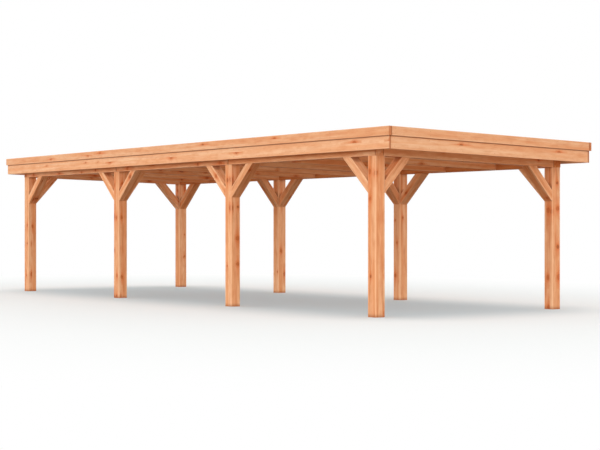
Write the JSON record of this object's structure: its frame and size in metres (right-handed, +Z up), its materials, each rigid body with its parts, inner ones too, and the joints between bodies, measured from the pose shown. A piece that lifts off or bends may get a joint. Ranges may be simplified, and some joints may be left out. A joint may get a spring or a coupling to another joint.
{
  "type": "carport",
  "caption": "Open timber carport: rows of square posts with knee braces carry beams, joists and a flat roof with a stepped fascia.",
  "frame": {"origin": "on the ground at the middle of the roof's plan", "axes": "+X along the length towards the near short end, +Y from the high front row to the low back row, +Z up"},
  "size_m": [11.783, 3.972, 2.6076],
  "materials": {
    "post_timber": "planed softwood, untreated",
    "beam_timber": "planed softwood, untreated",
    "joist_timber": "planed softwood, untreated",
    "brace_timber": "planed softwood, untreated",
    "roof_boards": "planed softwood, untreated",
    "roof_covering": "matt sheet",
    "kerb_timber": "planed softwood, untreated",
    "fascia_timber": "planed softwood, untreated"
  },
  "bodies": {
    "root": {"post_front_1": "post_timber", "post_front_2": "post_timber", "post_front_3": "post_timber", "post_front_4": "post_timber", "post_back_1": "post_timber", "post_back_2": "post_timber", "post_back_3": "post_timber", "post_back_4": "post_timber", "beam_front_1": "beam_timber", "beam_front_2": "beam_timber", "beam_front_3": "beam_timber", "beam_back_1": "beam_timber", "beam_back_2": "beam_timber", "beam_back_3": "beam_timber", "end_beam_near": "beam_timber", "end_beam_far": "beam_timber", "joist_1": "joist_timber", "joist_2": "joist_timber", "joist_3": "joist_timber", "joist_4": "joist_timber", "joist_5": "joist_timber", "joist_6": "joist_timber", "braces_front_1": "brace_timber", "braces_front_2": "brace_timber", "braces_front_3": "brace_timber", "braces_front_4": "brace_timber", "braces_back_1": "brace_timber", "braces_back_2": "brace_timber", "braces_back_3": "brace_timber", "braces_back_4": "brace_timber", "roof_boards": "roof_boards", "roof_covering": "roof_covering", "kerb_front": "kerb_timber", "kerb_back": "kerb_timber", "kerb_near": "kerb_timber", "kerb_far": "kerb_timber", "lower_fascia_front": "fascia_timber", "lower_fascia_back": "fascia_timber", "lower_fascia_near": "fascia_timber", "lower_fascia_far": "fascia_timber", "upper_fascia_front": "fascia_timber", "upper_fascia_back": "fascia_timber", "upper_fascia_near": "fascia_timber", "upper_fascia_far": "fascia_timber"}
  },
  "joints": []
}
